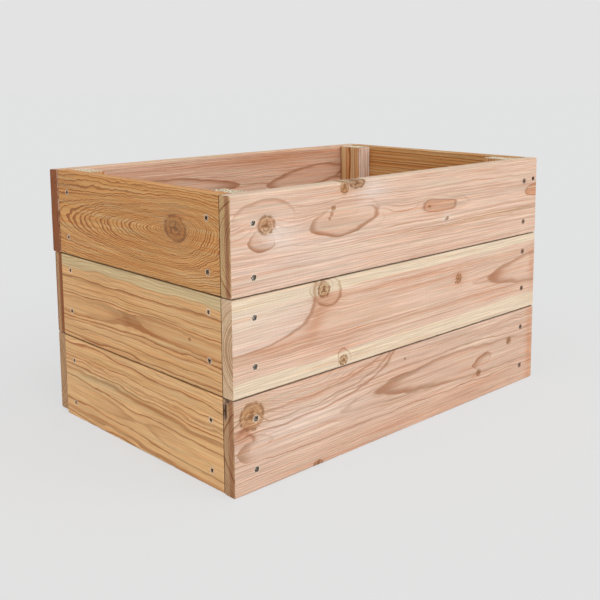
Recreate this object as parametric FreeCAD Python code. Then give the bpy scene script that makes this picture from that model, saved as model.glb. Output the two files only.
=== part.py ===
"""Raised garden bed: an open-bottomed box of sawn softwood boards, three tiers high.

Twelve boards stand on edge in three tiers. The long front and back boards run the whole length
and cover the ends of the short left and right boards. A batten stands upright in each inside
corner, and every board end is held to its batten by two countersunk wood screws, so each board
has four screws. The box has no floor, because the planting soil rests on the ground.

Units are millimetres. X runs along the bed, Y from front to back and Z up. The origin is on the
ground, in the middle of the bed.
"""

import FreeCAD, Part
import math
import os

from FreeCAD import Placement, Rotation, Vector

# Boards
LONG_BOARD_LENGTH = 750.0
SHORT_BOARD_LENGTH = 450.0
BOARD_WIDTH = 145.0
BOARD_THICKNESS = 24.0
BOARD_EDGE_ROUND = 3.0
TIER_GAP = 1.0
CORNER_GAP = 0.8
BACK_BOARD_STAGGER = 1.5
BACK_LOW_BOARD_TRIM = 5.0

# Corner battens: the wide face lies against the short boards
BATTEN_ALONG_BED = 34.0
BATTEN_ACROSS_BED = 60.0
BATTEN_EDGE_ROUND = 2.0
BATTEN_BELOW_RIM = 2.0
BATTEN_ABOVE_GROUND = 5.0

# Screws: countersunk wood screws with a six-lobed drive
SCREW_LENGTH = 50.0
THREAD_DIAMETER = 4.5
THREAD_LENGTH = 30.0
SHANK_DIAMETER = 3.3
HEAD_DIAMETER = 8.8
HEAD_RIM = 0.4
TIP_LENGTH = 5.0
TIP_FLAT_DIAMETER = 0.6
HEAD_SUNK = 0.5
DRIVE_LOBE_DIAMETER = 3.95
DRIVE_WAIST_DIAMETER = 2.85
DRIVE_DEPTH = 2.0

# Fits between the screws and the wood
HOLE_CLEARANCE = 0.25
HEAD_CLEARANCE = 0.1
DRILL_OVERRUN = 1.0

# Where the screws of the long boards sit: up from the board's lower edge, down from its upper edge
TIERS = ("low", "middle", "top")
LOWER_SCREW_INSET = {"low": 33.0, "middle": 41.0, "top": 25.0}
UPPER_SCREW_INSET = {"low": 35.0, "middle": 32.0, "top": 42.0}
# The screws of the short boards sit this much higher, so that the screws that cross them miss
CROSSING_STEP = {"low": -6.0, "middle": 6.0, "top": 6.0}

# Derived sizes
INSIDE_WIDTH = SHORT_BOARD_LENGTH + 2 * CORNER_GAP
OUTSIDE_WIDTH = INSIDE_WIDTH + 2 * BOARD_THICKNESS
TIER_PITCH = BOARD_WIDTH + TIER_GAP
RIM_HEIGHT = len(TIERS) * TIER_PITCH - TIER_GAP
BATTEN_X = LONG_BOARD_LENGTH / 2 - BOARD_THICKNESS - BATTEN_ALONG_BED / 2
BATTEN_Y = INSIDE_WIDTH / 2 - BATTEN_ACROSS_BED / 2

# Each side is built as if it were the front, facing -Y, and is then turned about Z.
# Its entries: turn in degrees, middle to outer face, board length, middle to batten's centre line
SIDES = {
    "front": (0, OUTSIDE_WIDTH / 2, LONG_BOARD_LENGTH, BATTEN_X),
    "right": (90, LONG_BOARD_LENGTH / 2, SHORT_BOARD_LENGTH, BATTEN_Y),
    "back": (180, OUTSIDE_WIDTH / 2, LONG_BOARD_LENGTH, BATTEN_X),
    "left": (270, LONG_BOARD_LENGTH / 2, SHORT_BOARD_LENGTH, BATTEN_Y),
}
LONG_SIDES = ("front", "back")
UP = Vector(0, 0, 1)


def eased_bar(size, radius, grain):
    """A box with its lowest corner at the origin, and the edges that run along the grain rounded."""
    bar = Part.makeBox(*size)
    limit = 0.45 * min(s for s, g in zip(size, grain) if not g)
    along = [e for e in bar.Edges if abs(e.tangentAt(0).dot(Vector(*grain))) > 0.5]
    return bar.makeFillet(min(radius, limit), along)


def turned(profile):
    """The solid that a closed profile of (radius, depth) points sweeps about +Y, depth along +Y."""
    points = [Vector(radius, depth, 0) for radius, depth in profile]
    face = Part.Face(Part.makePolygon(points + points[:1]))
    return face.revolve(Vector(0, 0, 0), Vector(0, 1, 0), 360)


def drive_recess():
    """The six-lobed socket in a screw's head, sunk from the head's top along +Y."""
    lobe, waist = DRIVE_LOBE_DIAMETER / 2, DRIVE_WAIST_DIAMETER / 2

    def at(radius, degrees):
        angle = math.radians(degrees)
        return Vector(radius * math.cos(angle), 0, radius * math.sin(angle))

    middle = (lobe + waist) / 2
    arcs = []
    for turn in range(0, 360, 60):
        arcs.append(Part.Arc(at(middle, turn - 15), at(lobe, turn), at(middle, turn + 15)))
        arcs.append(Part.Arc(at(middle, turn + 15), at(waist, turn + 30), at(middle, turn + 45)))
    face = Part.Face(Part.Wire([arc.toShape() for arc in arcs]))
    return face.extrude(Vector(0, DRIVE_DEPTH, 0))


def screw():
    """One screw, with the top of its head at the origin, driven along +Y."""
    head, shank, thread = HEAD_DIAMETER / 2, SHANK_DIAMETER / 2, THREAD_DIAMETER / 2
    neck = HEAD_RIM + head - shank
    thread_start = SCREW_LENGTH - THREAD_LENGTH
    tip_start = SCREW_LENGTH - TIP_LENGTH
    body = turned([
        (0, 0), (head, 0), (head, HEAD_RIM), (shank, neck), (shank, thread_start),
        (thread, thread_start), (thread, tip_start), (TIP_FLAT_DIAMETER / 2, SCREW_LENGTH),
        (0, SCREW_LENGTH),
    ])
    return body.cut(drive_recess())


def screw_hole():
    """What one screw takes out of the board and the batten, from in front of the board, along +Y.

    The head seats on the countersink, the board's hole is wide, and the batten holds the thread.
    """
    head, thread = HEAD_DIAMETER / 2, THREAD_DIAMETER / 2
    mouth, wide = head + HEAD_CLEARANCE, thread + HOLE_CLEARANCE
    seat = HEAD_SUNK + HEAD_RIM
    return turned([
        (0, -DRILL_OVERRUN), (mouth, -DRILL_OVERRUN), (mouth, seat), (head, seat),
        (wide, seat + head - wide),
        (wide, BOARD_THICKNESS), (thread, BOARD_THICKNESS),
        (thread, HEAD_SUNK + SCREW_LENGTH - TIP_LENGTH),
        (TIP_FLAT_DIAMETER / 2, HEAD_SUNK + SCREW_LENGTH), (0, HEAD_SUNK + SCREW_LENGTH),
    ])


def tier_floor(tier):
    """The height of a tier's lower edge."""
    return TIERS.index(tier) * TIER_PITCH


def screw_heights(side, tier):
    """The heights of a board's lower and upper screws."""
    lower = tier_floor(tier) + LOWER_SCREW_INSET[tier]
    upper = tier_floor(tier) + BOARD_WIDTH - UPPER_SCREW_INSET[tier]
    step = 0 if side in LONG_SIDES else CROSSING_STEP[tier]
    return lower + step, upper + step


def screw_places(side, tier):
    """Where a board's four screws enter its outer face, with the side facing -Y."""
    _, face, _, across = SIDES[side]
    return [Vector(x, -face, z) for x in (-across, across) for z in screw_heights(side, tier)]


def board_blank(side, tier):
    """A board before it is drilled, with the side facing -Y."""
    _, face, length, _ = SIDES[side]
    trim = BACK_LOW_BOARD_TRIM if (side, tier) == ("back", "low") else 0
    size = (length, BOARD_THICKNESS, BOARD_WIDTH - trim)
    shift = 0
    if side == "back":
        shift = BACK_BOARD_STAGGER if tier == "top" else -BACK_BOARD_STAGGER
    blank = eased_bar(size, BOARD_EDGE_ROUND, (1, 0, 0))
    blank.translate(Vector(shift - length / 2, -face, tier_floor(tier) + trim))
    return blank


def batten_blank(x_side, y_side):
    """A corner batten before it is drilled. x_side and y_side are -1 or 1."""
    height = RIM_HEIGHT - BATTEN_BELOW_RIM - BATTEN_ABOVE_GROUND
    size = (BATTEN_ALONG_BED, BATTEN_ACROSS_BED, height)
    blank = eased_bar(size, BATTEN_EDGE_ROUND, (0, 0, 1))
    corner = Vector(x_side * BATTEN_X, y_side * BATTEN_Y, BATTEN_ABOVE_GROUND)
    blank.translate(corner - Vector(BATTEN_ALONG_BED / 2, BATTEN_ACROSS_BED / 2, 0))
    return blank


def on_side(shape, side):
    """A copy of a shape made for the front, turned to its own side."""
    copy = shape.copy()
    copy.Placement = Placement(Vector(), Rotation(UP, SIDES[side][0])).multiply(copy.Placement)
    return copy


def copies_at(shape, places):
    """One copy of a shape at each place."""
    return [shape.translated(place) for place in places]


def save(name, shape):
    """Writes one named piece, and prints what it is."""
    shape.exportStep(os.path.join("parts", name + ".step"))
    box = shape.BoundBox
    size = f"{box.XLength:.1f} x {box.YLength:.1f} x {box.ZLength:.1f}"
    print(f"{name}: {len(shape.Solids)} solid(s), {size} mm, valid {shape.isValid()}")


def make_boards_and_screws():
    """Writes the twelve boards and their screws, and returns every screw hole where it lies."""
    one_screw = screw()
    one_hole = screw_hole()
    holes = []
    for side in SIDES:
        for tier in TIERS:
            places = screw_places(side, tier)
            board_holes = copies_at(one_hole, places)
            board = board_blank(side, tier).cut(Part.makeCompound(board_holes))
            sunk = [place + Vector(0, HEAD_SUNK, 0) for place in places]
            screws = Part.makeCompound(copies_at(one_screw, sunk))
            save(f"{side}_board_{tier}", on_side(board, side))
            save(f"{side}_board_{tier}_screws", on_side(screws, side))
            holes += [on_side(hole, side) for hole in board_holes]
    return holes


def make_battens(holes):
    """Writes the four corner battens, drilled by the screws that reach them."""
    for x_name, x_side in (("left", -1), ("right", 1)):
        for y_name, y_side in (("front", -1), ("back", 1)):
            blank = batten_blank(x_side, y_side)
            reaching = [hole for hole in holes if hole.BoundBox.intersect(blank.BoundBox)]
            save(f"corner_batten_{y_name}_{x_name}", blank.cut(Part.makeCompound(reaching)))


os.makedirs("parts", exist_ok=True)
make_battens(make_boards_and_screws())
print(f"outside {LONG_BOARD_LENGTH} x {OUTSIDE_WIDTH} x {RIM_HEIGHT} mm")
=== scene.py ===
"""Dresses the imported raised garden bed, and sets it on a pale studio floor.

The frame gives every piece its place and size. Each board and batten is a drilled bar of softwood
with its own growth rings and knots, the screws have threads and six-lobed sockets, and the sawn
ends carry torn fibres. The figure of the wood is a solid one: rings round a pith line behind the
board, bent by swells and knots, so that faces, edges and end grain agree.

Lengths in the tables and properties are in millimetres unless a property says otherwise. A bar's
own frame has x along the grain, y into the bar from its outer face and z across the outer face.
"""

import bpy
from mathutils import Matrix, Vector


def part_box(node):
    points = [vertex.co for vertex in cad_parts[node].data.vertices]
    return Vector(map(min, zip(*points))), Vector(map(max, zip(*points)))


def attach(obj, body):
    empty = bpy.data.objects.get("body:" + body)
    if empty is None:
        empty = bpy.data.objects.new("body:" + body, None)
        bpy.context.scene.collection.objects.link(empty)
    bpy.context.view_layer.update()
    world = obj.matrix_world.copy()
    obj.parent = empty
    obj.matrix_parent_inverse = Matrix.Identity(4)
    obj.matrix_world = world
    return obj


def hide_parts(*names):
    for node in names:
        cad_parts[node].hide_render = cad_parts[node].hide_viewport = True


bl_info = {
    "name": "Raised garden bed",
    "version": (1, 0, 0),
    "blender": (4, 5, 0),
    "location": "3D View > Sidebar > Garden bed",
    "description": "Boards, battens, screws and a studio for a raised garden bed",
    "category": "Object",
}

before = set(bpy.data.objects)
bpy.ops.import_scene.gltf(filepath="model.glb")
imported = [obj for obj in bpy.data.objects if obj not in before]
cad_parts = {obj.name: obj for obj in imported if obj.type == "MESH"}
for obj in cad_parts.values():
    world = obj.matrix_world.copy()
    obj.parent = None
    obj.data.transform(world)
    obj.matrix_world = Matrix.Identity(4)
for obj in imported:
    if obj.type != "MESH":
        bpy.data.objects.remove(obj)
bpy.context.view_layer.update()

import math
import random
from collections import namedtuple

import bpy
from bpy.props import FloatProperty, FloatVectorProperty, IntProperty, PointerProperty
from mathutils import Euler, Matrix, Vector, noise

MM = 0.001
BODY = "root"

SIDE_TURNS = {"front": 0, "right": 90, "back": 180, "left": 270}
LONG_SIDES = ("front", "back")
SHORT_SIDES = ("right", "left")
TIERS = ("low", "middle", "top")
BATTENS = ("front_left", "front_right", "back_left", "back_right")
SIDES_AND_TIERS = [(side, tier) for side in SIDE_TURNS for tier in TIERS]

# A bar's own faces, named by the way that they look: -y is the outer face
OUTER, INNER, UPPER, LOWER, ENDS = "outer", "inner", "upper", "lower", "ends"
OPPOSITE = {OUTER: INNER, INNER: OUTER, UPPER: LOWER, LOWER: UPPER}


# ---------------------------------------------------------------- the figure of each bar's wood

# Every mark has a centre on the board's face, half its size along and across the grain, its own
# settings, and a turn in degrees. A colour is the name of one in the wood's settings.

# A knot sinks a cone of count rings into the field. dark weighs its rim, pith and cracks
Knot = namedtuple("Knot", "along up length height count dark turn", defaults=(0,))
# An oval is the outline of a ring where the face cuts its crest: a dark line that fades inwards.
# pull is how many rings the lines round it give way by. The line is heaviest in the direction
# heavy, in degrees, and light is the weight that it keeps on the other side
Oval = namedtuple("Oval", "along up length height turn fade weight pull heavy light",
                  defaults=(0, 0.3, 0.6, -1.0, 180, 1.0))
# A tongue is a patch of another colour with a firm, dark edge, width millimetres wide
Tongue = namedtuple("Tongue", "along up length height colour share edge turn width",
                    defaults=(0, 3.0))
# A calm is a place where the lines of the rings grow faint
Calm = namedtuple("Calm", "along up length height share turn", defaults=(0,))
# A swell bends the rings outwards round its centre
Swell = namedtuple("Swell", "along up length height count turn", defaults=(0,))
# An eye is a nest of even rings round a knot, shorter on its right by the factor lean, and lower
# above its middle by the factor crown
Eye = namedtuple("Eye", "along up length height count turn lean crown", defaults=(0, 1.0, 1.0))
# A stain tints the wood
Stain = namedtuple("Stain", "along up length height colour share turn", defaults=(0,))
# A hollow is a chipped or bark-lined place, painted darker with shade the deeper it goes: its
# centre, half its size each way and its depth
Hollow = namedtuple("Hollow", "along deep up length thick height depth")

# The pith lies behind the seen face, under its heart line: deep rings back, and rising along the
# board by rise millimetres in a metre. wander is how far the rings stray in long waves, and curl
# in short ones. sap_at is how many rings out from the heart line the sapwood starts. base and sap
# colour the heartwood and the sapwood, tone makes the heartwood lighter or darker, and late weighs
# the dark lines. end colours the sawn ends, and end_face a band near their outer edge. torn is 1
# where they are rough and pitted. seed sets the bar's own noise, and seen is the face in view
Log = namedtuple(
    "Log", "heart deep ring rise wander curl sap_at sap base tone late end end_face torn seed seen"
    " knots ovals swells eyes stains tongues calms",
    defaults=(73, 12.4, 3.0, 0, 5, 1.5, 99, "sapwood", "heartwood", 1, 0.8, "amber", None, 0, 0,
              OUTER, (), (), (), (), (), (), ()))

LOGS = {
    "front_board_top": Log(
        heart=73, rise=4, wander=5, tone=0.98, late=0.68, end="olive", end_face="dark_end",
        seed=1,
        knots=(
            Knot(-310, 97, 15, 13, 4, 0.8), Knot(-152, 137, 8, 10, 3, 0.9),
            Knot(-124, 141, 16, 8, 3, 1.0), Knot(-176, 107, 4.5, 3.5, 1, 0.8, 30),
            Knot(-180, 98, 3.5, 3, 1, 0.7), Knot(-184, 92, 2.5, 2.5, 1, 0.6),
            Knot(101, 59, 3.6, 2.8, 1, 1.0), Knot(52, 85, 4.0, 2.2, 1, 1.0)),
        ovals=(
            Oval(-148, 89, 78, 26, 6, 0.28, 1.0, -3.5, -115, 0.3),
            Oval(-136, 85, 62, 18, 9, 0.2, 0.9, 0, -50, 0.05),
            Oval(-318, 76, 25, 17, 0, 0.5, 1.0, -0.8, -125, 0.12),
            Oval(-312, 112, 58, 22, 0, 0.3, 0.6, -2.0, 90, 0.05),
            Oval(90, 86, 70, 14, -3, 0.1, 0.5, -1.5, 90, 0.1)),
        calms=(
            Calm(-300, 60, 120, 40, 0.7), Calm(250, 80, 170, 24, 0.9), Calm(-90, 80, 60, 26, 0.6)),
        tongues=(
            Tongue(80, 84, 43, 9.5, "resin", 0.7, 0.8, -4),
            Tongue(372, 84, 32, 10, "resin", 1.0, 0.8)),
        stains=(
            # The pale stains beside the knots, and the broad faint one low at the left, paint sheen
            Stain(-88, 125, 34, 18, "bleached", 0.9), Stain(-285, 80, 30, 22, "bleached", 0.8),
            Stain(-240, 40, 150, 40, "bleached", 0.3), Stain(-310, 97, 16, 14, "weathered", 0.45),
            Stain(-124, 141, 17, 9, "weathered", 0.8), Stain(-152, 138, 11, 11, "amber", 0.7),
            Stain(101, 61, 10, 6, "bleached", 0.9), Stain(101, 59, 4, 3, "grime", 0.6),
            Stain(52, 85, 6, 3, "umber", 0.5), Stain(-310, 97, 7, 2, "umber", 0.6),
            # The cream band along the top edge paints the highlight that this edge catches
            Stain(0, 150, 900, 6.5, "sapwood", 1.0), Stain(-165, 92, 60, 22, "resin", 0.3),
            Stain(372, 84, 26, 9, "umber", 0.18), Stain(240, 50, 150, 2.2, "tan", 0.8, 1))),
    "front_board_middle": Log(
        heart=76, rise=10, wander=5, sap_at=8.6, tone=0.99, late=0.68, end="pale_end", seed=2,
        knots=(
            Knot(-197, 130, 12, 11, 4, 1.0, -10), Knot(-155, 10, 8, 7.5, 3, 1.0),
            Knot(136, 93, 7, 8, 2, 0.9), Knot(127, 87, 2, 2, 1, 1.0)),
        ovals=(
            Oval(420, 79, 195, 29, 0, 0.3, 0.85, -1.6, 180, 0.4),
            Oval(-192, 128, 34, 25, -14, 0.28, 0.9, -1.5, -60, 0.4),
            Oval(-197, 130, 22, 18, 16, 0.3, 0.8, -1.0, 120, 0.3),
            Oval(-155, 13, 15, 18, 0, 0.25, 0.8, -1.0, 90, 0.4)),
        calms=(Calm(-270, 92, 130, 26, 0.7), Calm(60, 80, 220, 22, 0.8)),
        stains=(
            Stain(-340, 125, 130, 26, "sapwood", 0.9), Stain(-104, 77, 62, 14, "tan", 0.2),
            Stain(108, 80, 36, 10, "tan", 0.12), Stain(252, 78, 28, 9, "resin", 0.6),
            Stain(-197, 130, 13, 12, "tan", 0.4), Stain(-215, 84, 16, 34, "resin", 0.7, -35),
            Stain(-300, 58, 100, 5, "resin", 0.7), Stain(-60, 114, 150, 5, "resin", 0.4),
            Stain(150, 114, 240, 4, "resin", 0.5), Stain(20, 50, 300, 3, "resin", 0.4),
            Stain(-155, 10, 24, 24, "resin", 0.55), Stain(-194, 122, 36, 30, "resin", 0.6),
            # The last stain darkens the right end with painted shade
            Stain(136, 93, 16, 14, "resin", 0.65), Stain(368, 80, 10, 40, "resin", 0.6)),
        # The pale tongue at the upper left paints sheen
        tongues=(Tongue(-385, 150, 170, 87, "bleached", 0.32, 0.8),)),
    "front_board_low": Log(
        heart=75, rise=-6, wander=9, curl=3, tone=0.9, late=0.86, end="tan",
        end_face="dark_end", seed=3,
        knots=(
            Knot(-342, 115, 22, 20, 5, 0.8), Knot(-346, 116, 2.6, 2.4, 1, 1.0),
            Knot(-211, 2, 9, 6, 2, 1.0), Knot(295, 91, 7, 6, 2, 1.0),
            Knot(200, 50, 6, 5.5, 2, 1.0), Knot(-8, 124, 2.4, 1.8, 1, 1.0)),
        ovals=(
            Oval(200, 75, 280, 27, -2, 0.3, 0.9, -1.3, 180, 0.45),
            Oval(212, 70, 29, 12, 10, 0.75, 1.0, -0.5, 110, 0.3),
            Oval(-342, 64, 29, 15, 0, 0.9, 0.8, -0.5, 180, 0.0)),
        tongues=tuple(Tongue(-330, up, 300, 98, "resin", 0, edge, 0, 1.7)
                      for up, edge in ((186, 0.85), (198, 0.7), (213, 0.6))),
        calms=(Calm(-240, 72, 150, 22, 1.0), Calm(-110, 72, 60, 16, 1.0),
               Calm(190, 74, 170, 18, 0.7)),
        swells=(Swell(-250, 120, 120, 34, 5),),
        # The first stain darkens the right end with painted shade
        stains=(
            # The pale stain at the left paints sheen
            Stain(365, 60, 12, 120, "resin", 0.8), Stain(-250, 85, 110, 22, "bleached", 0.5),
            Stain(-342, 116, 25, 22, "olive", 0.6), Stain(-358, 90, 20, 14, "resin", 0.7),
            Stain(-363, 96, 13, 4, "umber", 0.6, 25), Stain(-350, 89, 11, 3.5, "umber", 0.55, -35),
            Stain(-343, 82, 6, 3, "umber", 0.5, -50), Stain(200, 50, 4, 3.2, "grime", 0.7),
            Stain(190, 46, 15, 3, "resin", 0.8, 10), Stain(295, 91, 7, 5, "umber", 0.35),
            Stain(-211, 0, 9, 4, "umber", 0.6), Stain(70, 12, 260, 22, "resin", 0.4),
            Stain(-150, 125, 120, 6, "resin", 0.6, 7))),
    "left_board_top": Log(
        heart=82, deep=12.4, ring=4.8, wander=8, curl=8, sap="straw", base="golden", tone=1.17,
        late=3.0, end="resin", seed=4,
        knots=(Knot(120, 85, 26, 19, 5, 1.0, -8),),
        eyes=(Eye(120, 84, 350, 84, 33, 4, 2.6, 1.9),),
        stains=(
            Stain(120, 85, 27, 20, "weathered", 0.3), Stain(120, 85, 26, 19, "umber", 0.1),
            Stain(75, 118, 60, 14, "amber", 0.5), Stain(-60, 100, 120, 14, "umber", 0.15),
            Stain(-160, 30, 60, 20, "amber", 0.4), Stain(-195, 122, 60, 18, "umber", 0.2),
            Stain(175, 24, 70, 16, "amber", 0.45), Stain(40, 60, 90, 12, "umber", 0.12))),
    "left_board_middle": Log(
        heart=58, deep=10.4, ring=4.8, wander=9, curl=2.5, sap_at=7.3, sap="straw", base="amber",
        tone=1.1, late=1.3, seed=5,
        knots=(Knot(149, 69, 3, 2.6, 1, 0.9),),
        ovals=(
            Oval(140, 68, 130, 16, -3, 0.5, 0.4, -1.5, 180, 0.2),
            Oval(-170, 62, 140, 17, 3, 0.5, 0.4, -1.5, 0, 0.2)),
        stains=(
            Stain(0, 72, 600, 200, "straw", 0.1), Stain(-18, 66, 9, 22, "golden", 0.5),
            Stain(60, 88, 110, 4, "golden", 0.6, -3), Stain(-140, 108, 110, 3, "golden", 0.6),
            Stain(90, 20, 120, 5, "golden", 0.5, 4))),
    "left_board_low": Log(
        heart=45, deep=7.4, ring=7.2, rise=-40, wander=12, curl=2, sap="straw", base="amber",
        tone=1.25, late=1.15, seed=6,
        ovals=(
            Oval(-130, 52, 120, 13, -4, 0.5, 0.6, -0.9, 0, 0.3),
            Oval(110, 40, 90, 12, -5, 0.5, 0.5, -0.9, 180, 0.3)),
        stains=(
            Stain(0, 72, 600, 200, "straw", 0.3), Stain(0, 120, 250, 6, "golden", 0.5),
            Stain(60, 78, 120, 5, "golden", 0.7, -5), Stain(-120, 84, 110, 7, "straw", 0.6, 4))),
    "back_board_top": Log(
        heart=60, wander=8, curl=3, tone=1.06, late=1.1, end="umber", seed=7, seen=INNER,
        ovals=(Oval(150, 92, 180, 16, 3, 0.4, 1.0, -2.5), Oval(-220, 84, 120, 22, -6, 0.3, 0.9)),
        stains=(
            Stain(-150, 128, 220, 14, "resin", 0.8), Stain(200, 118, 130, 16, "resin", 0.5),
            # The straw band along the top edge paints the highlight that this edge catches
            Stain(-200, 100, 200, 60, "resin", 0.4), Stain(0, 148, 900, 3.5, "straw", 0.7),
            Stain(376, 70, 3.5, 200, "umber", 0.85))),
    "back_board_middle": Log(
        wander=6, base="amber", tone=1.05, late=1.1, end="umber", end_face="tan", seed=9,
        knots=(Knot(-118, 52, 13, 11, 4, 0.8), Knot(236, 98, 7, 6, 2, 0.9)),
        ovals=(Oval(40, 84, 170, 18, -2, 0.3, 0.7, -1.5), Oval(-260, 78, 110, 15, 2, 0.3, 0.5)),
        stains=(Stain(-118, 52, 22, 18, "resin", 0.5), Stain(120, 20, 300, 8, "golden", 0.5))),
    "back_board_low": Log(
        wander=6, curl=3, late=1.0, end="tan", seed=10,
        knots=(Knot(204, 66, 16, 13, 4, 0.8), Knot(-62, 22, 6, 5, 2, 0.9)),
        ovals=(Oval(-180, 72, 190, 20, 2, 0.25, 0.8, -2.0), Oval(300, 60, 60, 14, 0, 0.3, 0.5)),
        stains=(Stain(204, 66, 26, 20, "resin", 0.5), Stain(-60, 120, 260, 10, "resin", 0.5))),
    "right_board_top": Log(
        heart=-30, deep=9.4, ring=6.4, rise=10, wander=1.2, sap="straw", base="golden", tone=1.1,
        late=2.3, seed=8, seen=INNER,
        # The straw band along the top edge paints the highlight that this edge catches
        stains=(Stain(0, 148, 900, 3.5, "straw", 0.8),)),
    "corner_batten_back_right": Log(
        heart=-30, deep=2.4, ring=8, rise=2, wander=2, base="amber", tone=1.15, late=0.9,
        end="straw", torn=1, seed=11,
        stains=(
            Stain(0, 49, 900, 7, "straw", 0.8), Stain(0, 22, 900, 6, "straw", 0.8),
            # The pale band along the edge at z = 0 paints the highlight on that arris
            Stain(0, -1, 900, 4, "bleached", 1.0), Stain(0, 31, 900, 2.4, "umber", 1.0),
            Stain(0, 31, 900, 5, "umber", 0.3), Stain(0, 16, 900, 1.6, "umber", 0.6),
            Stain(0, 57, 900, 1.6, "umber", 0.6), Stain(0, 6, 900, 2, "golden", 0.6))),
}
# Empty screw holes: their place along and up the board, their radius and their depth
SPARE_HOLES = {"front_board_top": ((364.0, 105.5, 3.2, 9.0),)}
HOLLOWS = {
    "front_board_low": (
        Hollow(-375, 21, 126, 9, 3.6, 16, 8), Hollow(-375, 16, 142, 9, 7, 3.6, 7)),
    "front_board_top": (Hollow(-136, 2, 146, 30, 12, 7, 1.6),),
}


def made_up_log(name):
    """A plausible log for a bar whose figure isn't prescribed. The name fixes the draw."""
    draw = random.Random("log of " + name)
    between = draw.uniform
    half = 330 if name.startswith(LONG_SIDES) else 200
    knots = tuple(
        Knot(between(-half, half), between(15, 130), size, size * 0.85,
             max(2, round(size / 4)), between(0.5, 0.8), between(-20, 20))
        for size in (between(6, 17) for _ in range(draw.randint(1, 3))))
    ovals = tuple(
        Oval(between(-half, half), between(60, 85), between(60, 180), between(12, 26),
             between(-4, 4), between(0.2, 0.5), between(0.35, 0.7), between(-1.5, -0.6))
        for _ in range(draw.randint(1, 3)))
    return Log(
        heart=between(55, 90), deep=draw.randint(10, 18) + 0.4, ring=between(2.8, 3.8),
        rise=between(-25, 25), wander=between(4, 8), sap_at=draw.choice((99, 99, 8)),
        base=draw.choice(("heartwood", "golden", "amber")), late=between(0.8, 1.4),
        seed=draw.randint(20, 90), knots=knots, ovals=ovals)


def log_of(name):
    """The log that a bar is sawn from."""
    if name in LOGS:
        return LOGS[name]
    if not name.startswith("corner_batten"):
        return made_up_log(name)
    draw = random.Random("log of " + name)
    return Log(heart=draw.uniform(-60, -20), deep=draw.randint(4, 8) + 0.4, ring=6.5, rise=6,
               wander=3, base="amber", late=1.5, end="straw", torn=1, seed=draw.randint(100, 200))


# ---------------------------------------------------------------- settings

def measure(name, default, note):
    """A size in millimetres that a user may change."""
    return FloatProperty(name=name, description=note, default=default, min=0)


def tint(name, default, note):
    """A linear colour that a user may change."""
    return FloatVectorProperty(
        name=name, description=note, default=default, subtype="COLOR", size=3, min=0, max=1)


def amount(name, default, note, **settings):
    """A share or a strength that a user may change."""
    return FloatProperty(name=name, description=note, default=default, min=0, **settings)


class GardenBedWood(bpy.types.PropertyGroup):
    """The sawn softwood: its colours, and the wear of its surface."""

    heartwood: tint("Heartwood", (0.74, 0.51, 0.385), "Early wood inside the log, pinkish")
    golden: tint("Golden heartwood", (0.60, 0.305, 0.102), "Early wood of the most golden board")
    amber: tint("Amber heartwood", (0.72, 0.405, 0.175), "Early wood, yellowish")
    sapwood: tint("Sapwood", (0.77, 0.63, 0.465), "Cream outer wood of the log")
    straw: tint("Straw sapwood", (0.70, 0.53, 0.29), "Yellower outer wood")
    latewood: tint("Latewood", (0.53, 0.34, 0.21), "What the dark line of a ring lets through")
    knot: tint("Knot", (0.88, 0.77, 0.62), "What the wood of a knot lets through")
    knot_rim: tint("Knot rim", (0.25, 0.105, 0.04), "Bark line round a knot, and its cracks")
    # Painted sheen: pale patches beside the knots, and a pale band on a batten's arris, where the
    # wood catches the light
    bleached: tint("Bleached", (0.80, 0.66, 0.58), "Pale sheen beside the knots")
    resin: tint("Resin", (0.60, 0.30, 0.17), "Reddish wood, rich in resin")
    umber: tint("Umber", (0.30, 0.09, 0.022), "The darkest ends and checks")
    olive: tint("Olive", (0.60, 0.385, 0.175), "Greenish tan of bruised sapwood")
    tan: tint("Tan", (0.52, 0.31, 0.155), "Brown sawn ends")
    pale_end: tint("Pale end", (0.72, 0.50, 0.31), "Cleanest of the sawn ends")
    dark_end: tint("Dark end", (0.40, 0.18, 0.075), "Dark brown of some sawn ends")
    weathered: tint("Weathered", (0.50, 0.38, 0.26), "Greyish tan of old knots")
    frayed: tint("Frayed", (0.95, 0.88, 0.73), "Fibres that the saw tore up")
    bruise: tint("Bruise", (0.72, 0.60, 0.48), "Crushed fibres round the screws")
    # Painted shade: the joints, the hollows, the walls and mouths of screw holes and the pits of
    # torn sawn ends are darkened towards this colour. Two stains also use it for the dark middles
    # of small knots
    grime: tint("Grime", (0.075, 0.034, 0.016), "Dark of the joints and pockets")
    arris: measure("Arris", 2.6, "Radius of the rounded edges along the grain")
    end_round: measure("End rounding", 0.6, "Radius of the edges of the sawn ends")
    unevenness: measure("Unevenness", 0.35, "Depth of the dips in the sawn faces")
    arris_wear: measure("Arris wear", 0.9, "Depth of the worn places on the edges")
    cell: measure("Mesh cell", 3.0, "Longest side of a mesh cell")


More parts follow.
